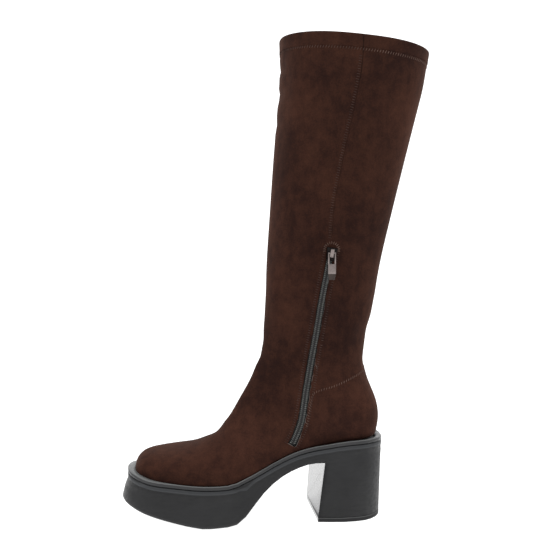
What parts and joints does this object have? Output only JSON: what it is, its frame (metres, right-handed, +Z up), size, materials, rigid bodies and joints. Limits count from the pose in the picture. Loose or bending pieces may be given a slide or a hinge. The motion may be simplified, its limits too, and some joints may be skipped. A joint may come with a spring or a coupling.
{
  "type": "knee-high boot",
  "caption": "Right knee-high stretch boot with a square toe, a medial inner zip, and a moulded platform sole with a block heel.",
  "frame": {"origin": "on the floor, in the middle of the heel's ground face, below the boot's length line", "axes": "the toe points along -X, the medial side with the zip faces -Y, and +Z is up"},
  "size_m": [0.2947, 0.1141, 0.4566],
  "materials": {
    "suede": "napped, matte",
    "sole_rubber": "matte, moulded",
    "welt_rubber": "satin",
    "top_piece": "matte",
    "insole": "matte lining leather",
    "tape": "woven, matte",
    "coil": "matte",
    "slider_metal": "gunmetal, polished",
    "pull_metal": "gunmetal, polished"
  },
  "bodies": {
    "boot": {"upper": "suede", "sole": "sole_rubber", "welt": "welt_rubber", "heel_top_piece": "top_piece", "insole": "insole", "zip_tape": "tape", "zip_coil": "coil", "zip_slider": "slider_metal"},
    "zip_pull": {"zip_pull": "pull_metal"}
  },
  "joints": [
    {"name": "pull_swing", "type": "hinge", "parent": "boot", "child": "zip_pull", "pos_m": [-0.02429, -0.05023, 0.25509], "axis": [-1, 0, 0], "range_deg": [-4, 165]}
  ]
}
